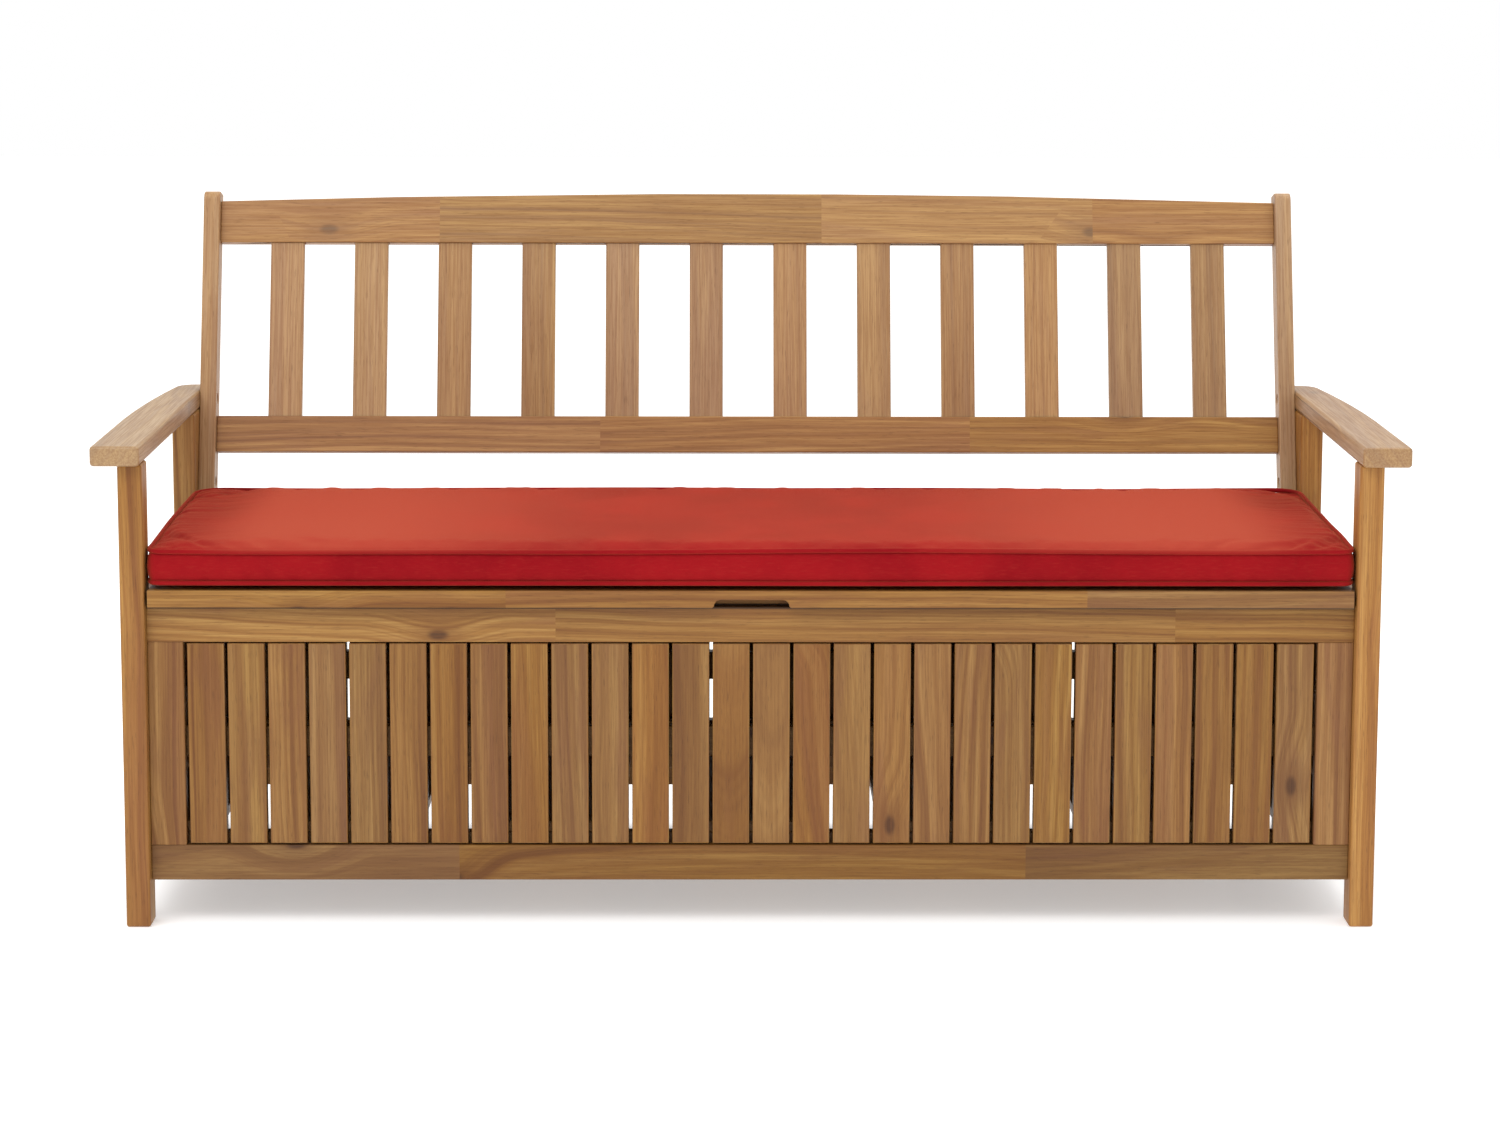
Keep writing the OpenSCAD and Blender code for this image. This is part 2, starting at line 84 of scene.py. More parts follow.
def make_light():
    world = bpy.data.worlds.new("studio")
    bpy.context.scene.world = world
    world.use_nodes = True
    background = world.node_tree.nodes["Background"]
    background.inputs["Color"].default_value = (1, 1, 1, 1)
    background.inputs["Strength"].default_value = 1.0
    area_light("key_light", place=(-1.6, -2.6, 3.4), target=(0, 0, 0.4), size=(2.6, 1.6), power=60)
    area_light("top_light", place=(0.6, 0.8, 3.2), target=(0, 0, 0.5), size=(3.2, 1.6), power=45)
    bpy.context.scene.view_settings.view_transform = "Standard"


# ---------- node helper ----------

# A Mix node has sockets for every kind of data: these are its two colour inputs and its colour output
MIX_FIRST = 6
MIX_SECOND = 7
MIX_RESULT = 2


class Tree:
    """Short calls for building a material's node tree."""

    def __init__(self, name):
        self.material = bpy.data.materials.new(name)
        self.material.use_nodes = True
        self.tree = self.material.node_tree
        self.shader = self.tree.nodes["Principled BSDF"]

    def node(self, kind, **settings):
        made = self.tree.nodes.new(kind)
        for key, value in settings.items():
            setattr(made, key, value)
        return made

    def put(self, socket, value):
        if isinstance(value, bpy.types.NodeSocket):
            self.tree.links.new(value, socket)
        else:
            socket.default_value = value

    def math(self, operation, *values):
        made = self.node("ShaderNodeMath", operation=operation)
        for socket, value in zip(made.inputs, values):
            self.put(socket, value)
        return made.outputs[0]

    def times(self, a, b):
        return self.math("MULTIPLY", a, b)

    def plus(self, a, b):
        return self.math("ADD", a, b)

    def minus(self, a, b):
        return self.math("SUBTRACT", a, b)

    def place(self):
        return self.node("ShaderNodeTexCoord").outputs["Object"]

    def split(self, at):
        made = self.node("ShaderNodeSeparateXYZ")
        self.put(made.inputs[0], at)
        return made.outputs

    def split_colour(self, colour):
        made = self.node("ShaderNodeSeparateColor")
        self.put(made.inputs[0], colour)
        return made.outputs[0], made.outputs[1], made.outputs[2]

    def stretch(self, at, rates):
        """A place with each coordinate multiplied by its own rate."""
        made = self.node("ShaderNodeVectorMath", operation="MULTIPLY")
        self.put(made.inputs[0], at)
        self.put(made.inputs[1], rates)
        return made.outputs[0]

    def combine(self, x, y, z):
        made = self.node("ShaderNodeCombineXYZ")
        for socket, value in zip(made.inputs, (x, y, z)):
            self.put(socket, value)
        return made.outputs[0]

    def noise(self, at, detail=2.0, rough=0.5, distortion=0.0):
        made = self.node("ShaderNodeTexNoise")
        self.put(made.inputs["Vector"], at)
        made.inputs["Scale"].default_value = 1.0
        made.inputs["Detail"].default_value = detail
        made.inputs["Roughness"].default_value = rough
        made.inputs["Distortion"].default_value = distortion
        return made.outputs["Fac"]

    def span(self, value, low, high, to_low=0.0, to_high=1.0, smooth=True):
        """Maps low to high on to to_low to to_high, and holds the result between those."""
        made = self.node("ShaderNodeMapRange")
        made.interpolation_type = "SMOOTHSTEP" if smooth else "LINEAR"
        self.put(made.inputs["Value"], value)
        made.inputs["From Min"].default_value = low
        made.inputs["From Max"].default_value = high
        made.inputs["To Min"].default_value = to_low
        made.inputs["To Max"].default_value = to_high
        return made.outputs["Result"]

    def ramp(self, value, stops):
        """Colours a value by stops of (place, colour)."""
        made = self.node("ShaderNodeValToRGB")
        self.put(made.inputs["Fac"], value)
        while len(made.color_ramp.elements) < len(stops):
            made.color_ramp.elements.new(0.5)
        for element, (place, colour) in zip(made.color_ramp.elements, stops):
            element.position = place
            element.color = (*colour, 1)
        return made.outputs["Color"]

    def mix(self, share, first, second):
        """Colour that goes from first to second as share goes from 0 to 1."""
        made = self.node("ShaderNodeMix", data_type="RGBA")
        self.put(made.inputs["Factor"], share)
        for index, value in ((MIX_FIRST, first), (MIX_SECOND, second)):
            self.put(made.inputs[index], (*value, 1) if isinstance(value, tuple) else value)
        return made.outputs[MIX_RESULT]

    def bump(self, height, strength, distance):
        made = self.node("ShaderNodeBump")
        made.inputs["Strength"].default_value = strength
        made.inputs["Distance"].default_value = distance
        self.put(made.inputs["Height"], height)
        return made.outputs["Normal"]


# ---------- wood ----------

HONEY = (0.460, 0.250, 0.080)
AMBER = (0.350, 0.168, 0.048)
UMBER = (0.200, 0.078, 0.024)
KNOT = (0.070, 0.026, 0.012)
# Colour of the painted shade line at the joint under the lid's front rail
PAINTED_JOINT_SHADE = (0.022, 0.010, 0.006)
RUSSET = (0.270, 0.112, 0.045)
# Pale colour of the painted glare on the arms and the back
GLARE_PALE_COLOUR = (0.440, 0.310, 0.185)

# Rates of each pattern per metre: along the grain, then across the board or from ring to ring
KNOT_RATES = (2.9, 5.6)
DRIFT_RATES = (2.2, 9.0)
BAND_RATES = (0.9, 120.0)
HEART_RATES = (0.7, 34.0)
LINE_RATES = (1.3, 250.0)
ZONE_RATES = (4.5, 26.0)
FIBRE_RATES = (9.0, 420.0)
PORE_RATES = (55.0, 1100.0)

# The pith, in metres: how far it wanders and slants, and how far aside of a board and under it it lies
PITH_WANDER = 0.030
PITH_SLANT = 0.020
PITH_SLANT_RATE = 2.4
PITH_ASIDE = 0.09
PITH_UNDER = 0.02
PITH_UNDER_SPREAD = 0.05
# How far a knot pushes the rings aside, and the reach of that, of its dark core and of its rim
KNOT_PUSH = 0.016
KNOT_REACH = 0.30
KNOT_CORE = (0.018, 0.050)
KNOT_RIM = (0.03, 0.15)

# Steps that set one board's pattern apart from the next one's
SEED_STEP = 0.618
ISLAND_STEP = 37.0
JOIN_STEP = 5.37
SHIFT_ALONG = 40.0
SHIFT_ACROSS = 7.0

# Reach of the painted shade beside a joint, from full strength to none
JOINT_SHADE_REACH = (0.0010, 0.0032)
PLAIN_GLOSS = 0.22
ARM_GLOSS = 0.5


def grain_space(t, along):
    """Object coordinates turned so that x runs along the grain, y across the face and z through it."""
    place = t.place()
    if along == "slope":
        lean = t.node("ShaderNodeMapping")
        lean.inputs["Rotation"].default_value = (LEAN, 0, 0)
        t.put(lean.inputs["Vector"], place)
        place = lean.outputs["Vector"]
    x, y, z = t.split(place)
    return {"x": (x, z, y), "y": (y, x, z), "z": (z, x, y), "slope": (z, x, y)}[along]


def board_rolls(t, a, seed, islands, joins):
    """Three random values that are the same all over one board and differ from board to board."""
    lot = t.times(seed, SEED_STEP)
    if islands:
        island = t.node("ShaderNodeNewGeometry").outputs["Random Per Island"]
        lot = t.plus(lot, t.times(island, ISLAND_STEP))
    for join in joins:
        lot = t.plus(lot, t.times(t.math("GREATER_THAN", a, join), JOIN_STEP))
    dice = t.node("ShaderNodeTexWhiteNoise", noise_dimensions="1D")
    t.put(dice.inputs["W"], lot)
    return t.split_colour(dice.outputs["Color"])


def grain_noise(t, a, second, third, rates, detail, rough=0.5, distortion=0.0):
    at = t.combine(t.times(a, rates[0]), t.times(second, rates[1]), third)
    return t.noise(at, detail, rough, distortion)


def knot_cells(t, a, across, share):
    """Sparse cells, longer along the grain: the distance from a knot, and 1 where one is chosen."""
    cells = t.node("ShaderNodeTexVoronoi", voronoi_dimensions="2D")
    t.put(cells.inputs["Vector"], t.combine(t.times(a, KNOT_RATES[0]), t.times(across, KNOT_RATES[1]), 0.0))
    cells.inputs["Scale"].default_value = 1.0
    pick = t.split_colour(cells.outputs["Color"])[0]
    return cells.outputs["Distance"], t.math("LESS_THAN", pick, share)


def ring_radius(t, place, across, rolls, knot):
    """Distance from a pith that slants through the board and wanders, pushed aside by the knots."""
    a, b, c = place
    near, chosen = knot
    drift = grain_noise(t, a, across, c, DRIFT_RATES, 2.0)
    drift = t.times(t.minus(drift, 0.5), PITH_WANDER)
    tilt = t.times(t.math("SINE", t.times(a, PITH_SLANT_RATE)), PITH_SLANT)
    side = t.plus(t.plus(b, drift), t.times(t.minus(rolls[2], 0.5), PITH_ASIDE))
    depth = t.plus(t.plus(c, tilt), t.plus(t.times(rolls[0], PITH_UNDER_SPREAD), PITH_UNDER))
    ring = t.math("SQRT", t.plus(t.times(side, side), t.times(depth, depth)))
    swirl = t.times(t.span(near, 0.0, KNOT_REACH, 1.0, 0.0), chosen)
    return t.plus(ring, t.times(swirl, KNOT_PUSH))


def wood(name, along, seed, tone, islands=False, joins=(), knots=0.55, glare_paleness=0.0, gloss=PLAIN_GLOSS,
         seam=None):
    """Oiled acacia: growth rings round a slanting pith, reddish heart streaks, pores and knots.
    joins are the places along the grain where one length of timber is joined to the next,
    and seam is the height of a joint on a level board, along which a thin dark line of painted shade is
    laid."""
    t = Tree(name)
    a, b, c = grain_space(t, along)
    rolls = board_rolls(t, a, seed, islands, joins)
    a = t.plus(a, t.times(rolls[0], SHIFT_ALONG))
    across = t.plus(b, t.times(rolls[1], SHIFT_ACROSS))
    near, chosen = knot_cells(t, a, across, knots)
    ring = ring_radius(t, (a, b, c), across, rolls, (near, chosen))

    bands = grain_noise(t, a, ring, rolls[1], BAND_RATES, 4.0, 0.6)
    heart = grain_noise(t, a, ring, rolls[2], HEART_RATES, 2.0)
    lines = grain_noise(t, a, ring, rolls[0], LINE_RATES, 2.0)
    zones = grain_noise(t, a, across, rolls[1], ZONE_RATES, 3.0, 0.55, 0.6)
    fibre = grain_noise(t, a, across, t.times(c, FIBRE_RATES[1]), FIBRE_RATES, 3.0, 0.65)
    pores = t.span(grain_noise(t, a, across, t.times(c, PORE_RATES[1]), PORE_RATES, 1.0), 0.62, 0.74)

    base = t.ramp(bands, [(0.30, UMBER), (0.48, AMBER), (0.63, HONEY)])
    base = t.mix(t.span(heart, 0.50, 0.68, 0.0, 0.55), base, RUSSET)
    base = t.mix(t.span(lines, 0.56, 0.70, 0.0, 0.30), base, UMBER)
    base = t.mix(t.span(zones, 0.50, 0.72, 0.0, 0.55), base, RUSSET)
    base = t.mix(t.times(t.span(near, *KNOT_RIM, 0.55, 0.0), chosen), base, UMBER)
    base = t.mix(t.times(t.span(near, *KNOT_CORE, 0.85, 0.0), chosen), base, KNOT)
    # Painted glare: paler on the arms and the back, which catch the light from above
    base = t.mix(glare_paleness, base, GLARE_PALE_COLOUR)
    base = t.mix(t.span(fibre, 0.35, 0.65, 0.42, 0.0), base, UMBER)
    base = t.mix(t.times(pores, 0.35), base, KNOT)
    # Painted shade: a thin dark line along the joint under the lid's front rail, standing for the shadow
    # under its overhang
    if seam is not None:
        from_seam = t.math("ABSOLUTE", t.minus(b, seam))
        base = t.mix(t.span(from_seam, *JOINT_SHADE_REACH, 0.88, 0.0), base, PAINTED_JOINT_SHADE)
    shade = t.node("ShaderNodeHueSaturation")
    t.put(shade.inputs["Hue"], t.span(rolls[1], 0.0, 1.0, 0.497, 0.504, False))
    t.put(shade.inputs["Saturation"], t.span(rolls[2], 0.0, 1.0, 0.98, 1.07, False))
    t.put(shade.inputs["Value"], t.span(rolls[0], 0.0, 1.0, 0.89 * tone, 1.10 * tone, False))
    t.put(shade.inputs["Color"], base)
    t.put(t.shader.inputs["Base Color"], shade.outputs["Color"])
    t.put(t.shader.inputs["Roughness"], t.span(fibre, 0.3, 0.7, 0.50, 0.38))
    t.shader.inputs["Specular IOR Level"].default_value = gloss
    t.shader.inputs["Coat Weight"].default_value = 0.04
    t.shader.inputs["Coat Roughness"].default_value = 0.38
    relief = t.minus(t.times(fibre, 0.6), t.times(pores, 0.5))
    t.put(t.shader.inputs["Normal"], t.bump(relief, 0.35, 0.0006))
    return t.material


# ---------- steel and cloth ----------

STEEL_DARK = (0.36, 0.36, 0.37)
STEEL_LIGHT = (0.56, 0.56, 0.56)

RED_DEEP = (0.225, 0.0030, 0.0080)
RED_LIGHT = (0.285, 0.0055, 0.0100)
# Paler red of the painted sheen on the cushion's top
RED_PAINTED_SHEEN = (0.335, 0.034, 0.023)
RED_SLUB = (0.42, 0.045, 0.030)
RED_IN_WEAVE = (0.12, 0.002, 0.004)
RED_SHEEN = (1.0, 0.33, 0.13, 1)
COVER_THREAD = 0.0011
PIPING_THREAD = 0.0009
PIPING_TINT = 0.94


def steel(name):
    """Zinc-plated steel with fine brushing."""
    t = Tree(name)
    place = t.place()
    brushed = t.noise(t.stretch(place, (60.0, 900.0, 900.0)), 3.0, 0.6)
    patches = t.noise(t.stretch(place, (90.0, 90.0, 90.0)), 2.0)
    t.put(t.shader.inputs["Base Color"], t.mix(patches, STEEL_DARK, STEEL_LIGHT))
    t.shader.inputs["Metallic"].default_value = 1.0
    t.put(t.shader.inputs["Roughness"], t.span(brushed, 0.3, 0.7, 0.28, 0.46))
    t.put(t.shader.inputs["Normal"], t.bump(brushed, 0.2, 0.0002))
    return t.material


def tinted(colour, tint):
    return tuple(part * tint for part in colour)


def fabric(name, thread=COVER_THREAD, tint=1.0):
    """Woven polyester: a plain weave, a soft nap, uneven dye, painted sheen over the top and painted shade
    at the creased rear corners.
    """
    t = Tree(name)
    place = t.place()
    x, y, z = t.split(place)
    waves = [t.math("SINE", t.times(axis, math.tau / thread)) for axis in (x, y, z)]
    weave = t.times(waves[0], t.plus(waves[1], waves[2]))
    slub = t.noise(t.stretch(place, (70.0, 900.0, 900.0)), 2.0)
    cloud = t.noise(t.stretch(place, (9.0, 9.0, 9.0)), 3.0)
    deep = tinted(RED_DEEP, tint)
    base = t.mix(t.span(cloud, 0.3, 0.7), deep, tinted(RED_LIGHT, tint))
    base = t.mix(t.span(slub, 0.5, 0.75, 0.0, 0.14), base, RED_SLUB)
    base = t.mix(t.span(weave, -1.2, 0.0, 0.22, 0.0), base, RED_IN_WEAVE)

    # Painted sheen: paler over the top of both outer seats, but not at the very ends
    aside = t.math("ABSOLUTE", x)
    painted_sheen = t.times(t.span(aside, 0.15, 0.50), t.span(aside, 0.60, 0.70, 1.0, 0.0))
    painted_sheen = t.times(painted_sheen, t.span(z, 0.466, 0.474))
    base = t.mix(painted_sheen, base, tinted(RED_PAINTED_SHEEN, tint))

    # Painted shade in the creases and on the slopes near the rear corners
    ends = t.span(aside, 0.61, 0.70)
    rear = t.span(y, -0.16, 0.10)
    folds = t.noise(t.stretch(place, (14.0, 85.0, 20.0)), 2.0, 0.5, 0.8)
    painted_fold_shade = t.times(t.times(ends, rear), t.span(folds, 0.30, 0.60, 0.10, 0.55))
    base = t.mix(painted_fold_shade, base, tinted(deep, 0.5))
    t.put(t.shader.inputs["Base Color"], base)
    t.shader.inputs["Roughness"].default_value = 0.78
    t.shader.inputs["Specular IOR Level"].default_value = 0.03
    t.shader.inputs["Sheen Weight"].default_value = 0.30
    t.shader.inputs["Sheen Roughness"].default_value = 0.5
    t.shader.inputs["Sheen Tint"].default_value = RED_SHEEN
    t.put(t.shader.inputs["Normal"], t.bump(weave, 0.25, 0.0003))
    return t.material


# ---------- looks of the CAD nodes ----------

# What each wooden node is cut from: grain direction, tone, edge width, joins along its length
TIMBER = {
    "front_leg_left": ("z", 0.99, 0.003, ()),
    "front_leg_right": ("z", 0.97, 0.003, ()),
    "rear_leg_left": ("z", 0.95, 0.003, ()),
    "rear_leg_right": ("z", 0.95, 0.003, ()),
    "arm_left": ("y", 0.98, 0.0045, ()),
    "arm_right": ("y", 0.98, 0.0045, ()),
    "back_post_left": ("slope", 0.97, 0.002, ()),
    "back_post_right": ("slope", 0.94, 0.002, ()),
    "back_top_rail": ("x", 0.93, 0.0016, (-0.42, 0.10, 0.47)),
    "back_lower_rail": ("x", 0.95, 0.0016, (-0.20, 0.30)),
    "front_top_rail": ("x", 0.78, 0.0008, (-0.24, 0.52)),
    "front_bottom_rail": ("x", 0.57, 0.0015, (-0.36, 0.34)),
    "front_stile_left": ("z", 0.74, 0.0015, ()),
    "front_stile_right": ("z", 0.78, 0.0015, ()),
    "rear_top_rail": ("x", 0.76, 0.0015, (0.1,)),
    "rear_bottom_rail": ("x", 0.60, 0.0015, (-0.2,)),
    "rear_stile_left": ("z", 0.75, 0.0015, ()),
    "rear_stile_right": ("z", 0.75, 0.0015, ()),
    "side_top_rail_left": ("y", 0.78, 0.0015, ()),
    "side_top_rail_right": ("y", 0.78, 0.0015, ()),
    "side_bottom_rail_left": ("y", 0.62, 0.0015, ()),
    "side_bottom_rail_right": ("y", 0.62, 0.0015, ()),
    "rear_seat_board": ("x", 0.86, 0.003, (0.2,)),
    "lid_front_rail": ("x", 0.76, 0.0010, (-0.30, 0.41)),
    "lid_rear_rail": ("x", 0.80, 0.002, (0.15,)),
    "lid_end_left": ("y", 0.80, 0.002, ()),
    "lid_end_right": ("y", 0.80, 0.002, ()),
    # The battens and ledgers inside the box have a low tone as painted shade, so that they show dark
    # through the gaps
    "front_batten": ("x", 0.50, 0.002, ()),
    "rear_battens": ("x", 0.50, 0.002, ()),
    "side_battens": ("y", 0.50, 0.002, ()),
    "floor_ledgers": ("x", 0.50, 0.002, ()),
    "dowels": ("x", 1.0, 0.0, ()),
}
# Nodes that hold many boards, each of which takes its own piece of the pattern
BOARDS = {
    "front_slats": ("z", 0.70, 0.0012),
    "rear_slats": ("z", 0.70, 0.0012),
    "side_slats_left": ("z", 0.71, 0.0012),
    "side_slats_right": ("z", 0.71, 0.0012),
    "lid_slats": ("x", 0.80, 0.002),
    # The lid's battens and the floor boards inside the box have a low tone as painted shade
    "lid_battens": ("y", 0.55, 0.002),
    "floor_boards": ("y", 0.55, 0.002),
}
BACK_SLAT = ("slope", 0.96, 0.002)
# Painted glare and top light: how far each part that stands clear of the seat is paled
GLARE_PALENESS = {
    "arm_left": 0.50,
    "arm_right": 0.50,
    "back_post_left": 0.60,
    "back_post_right": 0.60,
    "back_top_rail": 0.28,
    "back_lower_rail": 0.15,
}
# The back slats take the painted glare too
GLARE_PALENESS_BACK_SLAT = 0.45
STEEL_NODES = ("post_bolts", "bolt_inserts", "hinge_fixed_leaves", "hinge_pins", "hinge_screws_fixed",
               "hinge_lid_leaves", "hinge_screws_lid")
# Share of the pattern's cells that hold a knot
KNOTS_IN_BOARDS = 0.35
KNOTS_IN_BACK_SLATS = 0.3
# The painted shade line lies at the joint just below the lid's front rail
SEAM_BELOW_LID = 0.0008

# Welding distance, the angle up to which neighbouring faces are one flat face, and the rounding of edges
WELD_REACH = 0.00005
FLAT_ANGLE = math.radians(0.6)
EDGE_ANGLE = math.radians(40)
EDGE_SEGMENTS = 3


def finish_node(name, material, edge):
    """Gives a CAD node its material and eases its edges."""
    piece = NODES[name]
    piece.data.materials.clear()
    piece.data.materials.append(material)
    if edge <= 0:
        return
    weld = piece.modifiers.new("weld", "WELD")
    weld.merge_threshold = WELD_REACH
    plain = piece.modifiers.new("whole_faces", "DECIMATE")
    plain.decimate_type = "DISSOLVE"
    plain.angle_limit = FLAT_ANGLE
    ease = piece.modifiers.new("eased_edges", "BEVEL")
    ease.width = edge
    ease.segments = EDGE_SEGMENTS
    ease.limit_method = "ANGLE"
    ease.angle_limit = EDGE_ANGLE
    # The finger notch leaves the lid's front rail with faces too short for the full width
    ease.use_clamp_overlap = name == "lid_front_rail"
    ease.loop_slide = False
    ease.harden_normals = True


def finish_timber():
    lid_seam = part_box("lid_front_rail")[0].z - SEAM_BELOW_LID
    seed = 1
    for name, (along, tone, edge, joins) in TIMBER.items():
        seed += 1
        glare_paleness = GLARE_PALENESS.get(name, 0.0)
        gloss = ARM_GLOSS if name.startswith("arm_") else PLAIN_GLOSS
        # Only these two rails take the painted shade line at the joint
        seam = lid_seam if name in ("lid_front_rail", "front_top_rail") else None
        made = wood("acacia_" + name, along, seed, tone, joins=joins, glare_paleness=glare_paleness, gloss=gloss, seam=seam)
        finish_node(name, made, edge)
    for name, (along, tone, edge) in BOARDS.items():
        seed += 1
        made = wood("acacia_" + name, along, seed, tone, islands=True, knots=KNOTS_IN_BOARDS)
        finish_node(name, made, edge)
    along, tone, edge = BACK_SLAT
    for name in sorted(n for n in NODES if n.startswith("back_slat_")):
        seed += 1
        made = wood("acacia_" + name, along, seed, tone, knots=KNOTS_IN_BACK_SLATS, glare_paleness=GLARE_PALENESS_BACK_SLAT)
        finish_node(name, made, edge)


def finish_steel():
    metal = steel("zinc_plated_steel")
    for name in STEEL_NODES:
        finish_node(name, metal, 0)


# ---------- cushion ----------

# Quads across the cushion near its ends and in its middle, along its depth, and where the two widths meet
FINE = 0.0042
COARSE = 0.0090
CELL_Y = 0.0052
SIDE_REACH = 0.075
SIDE_ROWS = 5
# Radius of the piping, and how far its middle stands out from the seam
PIPE_R = 0.0030
PIPE_OUT = 0.0018
PIPE_SIDES = 10
PIPE_SMOOTHING = 6
# The seams' inset from the CAD cushion's outline, and the plan's corner radii
EDGE_IN = 0.0040
REAR_R = 0.034
FRONT_R = 0.012
# Height of the top seam at the front and at the rear
FRONT_H = 0.0478
REAR_H = 0.0540
# The underside clears the lid by a little, rises to its seam, and the sides swell between the seams
UNDER_GAP = 0.0006
EDGE_LIFT = 0.0076
EDGE_LIFT_REACH = 0.03
BULGE = 0.0034
# How far the seams sway sideways, and the top one up and down
SWAY_OUT = 0.0018
SWAY_UP = 0.0026

CLOTH_STEPS = 20
# Most that the cloth may move a point up, down and sideways
SWELL_UP = 0.008
SWELL_DOWN = 0.003
SWELL_OUT = 0.0015

# Gathers at the side seams: height, reach, and the distance in which they start
GATHER = 0.0024
GATHER_REACH = 0.036
GATHER_START = 0.008
GATHER_SLANT = 0.35
# The hollow beside each gathered seam: depth, distance from the seam and half width
HOLLOW = 0.0050
HOLLOW_AT = 0.055
HOLLOW_WIDTH = 0.035
# Waves over the top, and the distances from the edges in which waves and hollows fade
BROAD_WAVE = 0.0018
FINE_WAVE = 0.0006
FADE_SIDE = 0.06
FADE_END = 0.05
HOLLOW_FADE_END = 0.06
# Height above the lid at which the top's shape begins, and how fast it comes in
TOP_FROM = 0.038
TOP_FADE = 0.008


def columns(half):
    """Places across the cushion: close together near its ends, wider apart in the middle."""
    fine = round(SIDE_REACH / FINE)
    inner = half - SIDE_REACH
    coarse = round(2 * inner / COARSE)
    left = [-half + SIDE_REACH * i / fine for i in range(fine)]
    middle = [-inner + 2 * inner * i / coarse for i in range(coarse + 1)]
    return left + middle + [-x for x in reversed(left)]


def soft_edge(distance, reach):
    """1 at an edge, and dying away with the distance from it."""
    return math.exp(-max(distance, 0) / reach)


def ripple(x, y, plane):
    """Smooth noise between -1 and 1; each plane is a pattern of its own."""
    return noise.noise(Vector((x, y, plane)))


def round_corner(x, y, half, front, back):
    """Pulls a point of a rectangle's corner square in to a quarter circle."""
    r = REAR_R if y > (front + back) / 2 else FRONT_R
    p = (abs(x) - (half - r)) / r
    q = ((y - (back - r)) if y > 0 else ((front + r) - y)) / r
    if p <= 0 or q <= 0:
        return x, y
    new_p, new_q = p * math.sqrt(1 - q * q / 2), q * math.sqrt(1 - p * p / 2)
    x = math.copysign(half - r + new_p * r, x)
    y = (back - r + new_q * r) if y > 0 else (front + r - new_q * r)
    return x, y


def seam_sway(x, y, top):
    """Where the sewn edge wanders from a straight line, outwards and upwards."""
    x, y = x * 3.1, y * 5.3
    plane = 4.0 if top else 9.0
    return ripple(x, y, plane) * SWAY_OUT, ripple(x + 11, y + 3, plane + 5) * SWAY_UP


def box_cushion(low, high):
    """A shallow closed box of quads with rounded corners in plan.
    Returns its points and faces, and the loops of points along its top and bottom seams."""
    half = high.x - EDGE_IN
    front, back = low.y + EDGE_IN, high.y - EDGE_IN
    across = columns(half)
    nx = len(across) - 1
    ny = round((back - front) / CELL_Y)
    points, faces = [], []

    def top_height(x, y):
        return low.z + FRONT_H + (REAR_H - FRONT_H) * (y - front) / (back - front)

    def under_height(x, y):
        inside = max(0.0, min(half - abs(x), y - front, back - y))
        return low.z + UNDER_GAP + EDGE_LIFT * soft_edge(inside, EDGE_LIFT_REACH)

    def layer(height, top):
        first = len(points)
        for j in range(ny + 1):
            for x0 in across:
                x, y = round_corner(x0, front + (back - front) * j / ny, half, front, back)
                points.append(Vector((x, y, height(x, y))))
        for j in range(ny):
            for i in range(nx):
                k = first + j * (nx + 1) + i
                quad = [k, k + 1, k + nx + 2, k + nx + 1]
                faces.append(quad if top else quad[::-1])
        return first

    def rim(first):
        loop = [first + i for i in range(nx + 1)]
        loop += [first + j * (nx + 1) + nx for j in range(1, ny + 1)]
        loop += [first + ny * (nx + 1) + i for i in range(nx - 1, -1, -1)]
        loop += [first + j * (nx + 1) for j in range(ny - 1, 0, -1)]
        return loop

    top, bottom = rim(layer(top_height, True)), rim(layer(under_height, False))
    middle_y = (front + back) / 2
    for loop, is_top in ((top, True), (bottom, False)):
        for k in loop:
            p = points[k]
            out, up = seam_sway(p.x, p.y, is_top)
            if abs(p.x) > half - REAR_R:
                p.x += math.copysign(out, p.x)
            else:
                p.y += math.copysign(out, p.y - middle_y)
            if is_top:
                p.z += up
    rings = [bottom]
    for row in range(1, SIDE_ROWS):
        share = row / SIDE_ROWS
        path = [points[b].lerp(points[t], share) for b, t in zip(bottom, top)]
        rings.append(list(range(len(points), len(points) + len(path))))
        points += outwards(path, BULGE * math.sin(math.pi * row / SIDE_ROWS))
    rings.append(top)
    for lower, upper in zip(rings, rings[1:]):
        for i in range(len(lower)):
            j = (i + 1) % len(lower)
            faces.append([lower[i], lower[j], upper[j], upper[i]])
    return points, faces, top, bottom


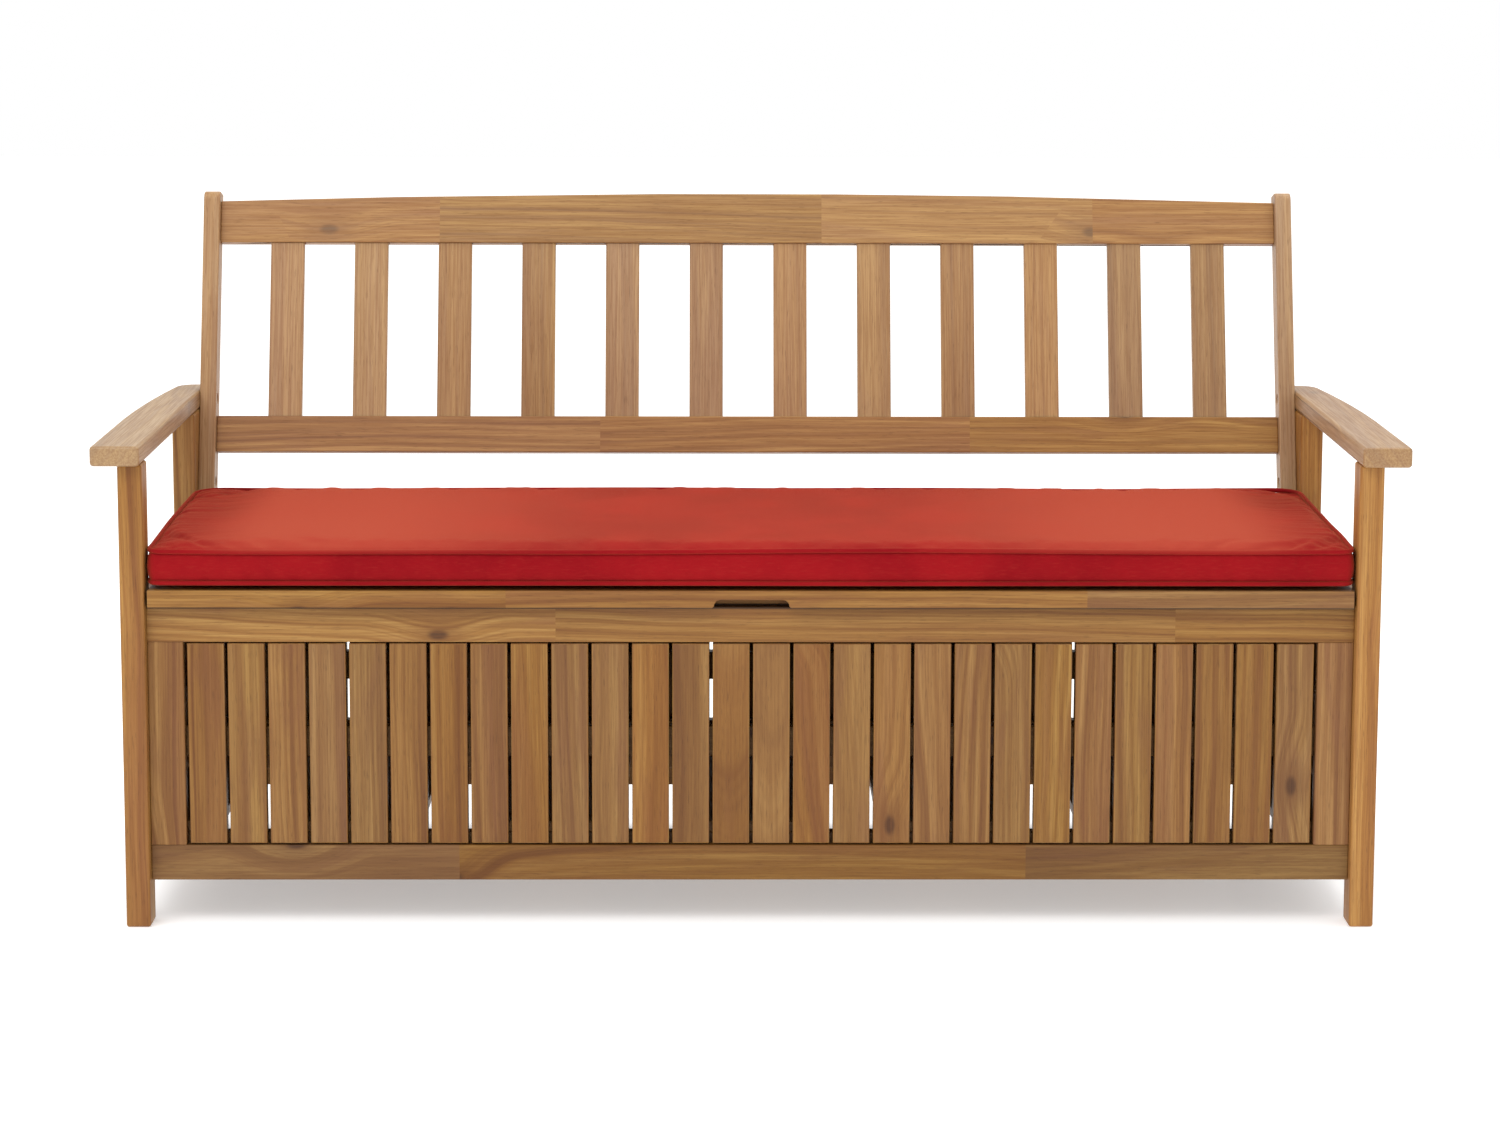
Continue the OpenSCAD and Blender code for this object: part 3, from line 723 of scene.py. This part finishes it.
def swell(piece, pinned):
    """Cloth simulation: the cover is blown up from inside while its seams and underside are held."""
    before = [v.co.copy() for v in piece.data.vertices]
    group = piece.vertex_groups.new(name="held")
    group.add(pinned, 1.0, "REPLACE")
    cloth = piece.modifiers.new("cloth", "CLOTH")
    cloth.settings.quality = 5
    cloth.settings.mass = 0.25
    cloth.settings.tension_stiffness = 18
    cloth.settings.compression_stiffness = 14
    cloth.settings.shear_stiffness = 8
    cloth.settings.bending_stiffness = 1.6
    cloth.settings.vertex_group_mass = "held"
    cloth.settings.use_pressure = True
    cloth.settings.uniform_pressure_force = 3.5
    cloth.settings.shrink_min = -0.022
    cloth.settings.effector_weights.gravity = 0
    scene = bpy.context.scene
    for step in range(1, CLOTH_STEPS + 1):
        scene.frame_set(step)
    shown = piece.evaluated_get(bpy.context.evaluated_depsgraph_get()).to_mesh()
    after = [v.co.copy() for v in shown.vertices]
    piece.modifiers.remove(cloth)
    scene.frame_set(1)
    for v, old, new in zip(piece.data.vertices, before, after):
        move = new - old
        flat = Vector((move.x, move.y, 0))
        if flat.length > SWELL_OUT:
            flat *= SWELL_OUT / flat.length
        v.co = old + flat + Vector((0, 0, max(-SWELL_DOWN, min(SWELL_UP, move.z))))


def pucker(piece, low, high):
    """Fine gathers running in from the side seams, a hollow beside each, and soft waves over the top."""
    half = high.x - EDGE_IN
    for v in piece.data.vertices:
        p = v.co
        over = min(1.0, max(0.0, (p.z - low.z - TOP_FROM) / TOP_FADE))
        if over == 0:
            continue
        side = max(0.0, half - abs(p.x))
        back_share = (p.y - low.y) / (high.y - low.y)
        end = max(0.0, min(p.y - low.y, high.y - p.y))
        lane = p.y - side * GATHER_SLANT
        plane = 2.0 if p.x > 0 else 7.0
        crease = ripple(lane * 95, side * 9, plane) + 0.6 * ripple(lane * 41, side * 6, plane + 3)
        broad = ripple(p.x * 3.4, p.y * 5.5, 1.0)
        fine = ripple(p.x * 13.0, p.y * 9.0, 5.0)
        rise = GATHER * crease * soft_edge(side, GATHER_REACH) * min(1.0, side / GATHER_START)
        hollow = math.exp(-((side - HOLLOW_AT) / HOLLOW_WIDTH) ** 2) * (0.2 + 0.8 * back_share)
        rise -= HOLLOW * hollow * min(1.0, end / HOLLOW_FADE_END)
        waves = BROAD_WAVE * broad + FINE_WAVE * fine
        rise += waves * min(1.0, side / FADE_SIDE) * min(1.0, end / FADE_END)
        p.z += rise * over


def subdivided(piece):
    """Applies one level of subdivision."""
    smoother = piece.modifiers.new("smooth", "SUBSURF")
    smoother.levels = smoother.render_levels = 1
    shown = piece.evaluated_get(bpy.context.evaluated_depsgraph_get())
    made = bpy.data.meshes.new_from_object(shown)
    piece.modifiers.clear()
    piece.vertex_groups.clear()
    piece.data = made
    made.shade_smooth()


def tube(name, path, radius, sides=PIPE_SIDES):
    """A closed round cord along a closed path."""
    count = len(path)
    points, faces = [], []
    for i, p in enumerate(path):
        along = (path[(i + 1) % count] - path[i - 1]).normalized()
        out = along.cross(Vector((0, 0, 1))).normalized()
        up = out.cross(along)
        for k in range(sides):
            turn = math.tau * k / sides
            points.append(p + (out * math.cos(turn) + up * math.sin(turn)) * radius)
    for i in range(count):
        j = (i + 1) % count
        for k in range(sides):
            m = (k + 1) % sides
            faces.append([i * sides + k, i * sides + m, j * sides + m, j * sides + k])
    return new_piece(name, points, faces)


def new_piece(name, points, faces):
    mesh = bpy.data.meshes.new(name)
    mesh.from_pydata([tuple(p) for p in points], [], faces)
    mesh.update()
    mesh.shade_smooth()
    piece = bpy.data.objects.new(name, mesh)
    bpy.context.scene.collection.objects.link(piece)
    return piece


def smooth_loop(path):
    """Evens out a closed path, each point by a quarter of both its neighbours."""
    for _ in range(PIPE_SMOOTHING):
        before = path[-1:] + path[:-1]
        after = path[1:] + path[:1]
        path = [a * 0.25 + p * 0.5 + b * 0.25 for a, p, b in zip(before, path, after)]
    return path


def outwards(path, distance):
    """Moves a closed level path outwards by a distance."""
    moved = []
    for i, p in enumerate(path):
        along = (path[(i + 1) % len(path)] - path[i - 1]).normalized()
        moved.append(p + along.cross(Vector((0, 0, 1))).normalized() * distance)
    return moved


def make_cushion():
    low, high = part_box("cushion")
    points, faces, top, bottom = box_cushion(low, high)
    cover = new_piece("cushion_cover", points, faces)
    seams = [[points[k].copy() for k in loop] for loop in (top, bottom)]
    underside = [v.index for v in cover.data.vertices if v.co.z < low.z + UNDER_GAP + EDGE_LIFT]
    swell(cover, sorted(set(underside + top + bottom)))
    subdivided(cover)
    pucker(cover, low, high)
    cover.data.materials.append(fabric("red_cloth"))
    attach(cover, "seat_cushion")
    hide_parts("cushion")
    piping = fabric("red_piping", PIPING_THREAD, PIPING_TINT)
    for name, seam in zip(("piping_top", "piping_bottom"), seams):
        cord = tube(name, outwards(smooth_loop(seam), PIPE_OUT), PIPE_R)
        cord.data.materials.append(piping)
        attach(cord, "seat_cushion")


# ---------- floor ----------

FLOOR_REACH = 14
FLOOR_DROP = 0.0005
FLOOR_GLOW = 0.38


def make_floor():
    signs = ((-1, -1), (1, -1), (1, 1), (-1, 1))
    corners = [Vector((x * FLOOR_REACH, y * FLOOR_REACH, -FLOOR_DROP)) for x, y in signs]
    floor = new_piece("floor", corners, [[0, 1, 2, 3]])
    t = Tree("pale_floor")
    grain = t.noise(t.place(), 2.0)
    t.put(t.shader.inputs["Base Color"], t.mix(grain, (0.90, 0.90, 0.90), (0.92, 0.92, 0.92)))
    t.shader.inputs["Roughness"].default_value = 0.9
    t.shader.inputs["Emission Color"].default_value = (1, 1, 1, 1)
    t.shader.inputs["Emission Strength"].default_value = FLOOR_GLOW
    floor.data.materials.append(t.material)


make_camera()
make_light()
make_cushion()
finish_timber()
finish_steel()
make_floor()
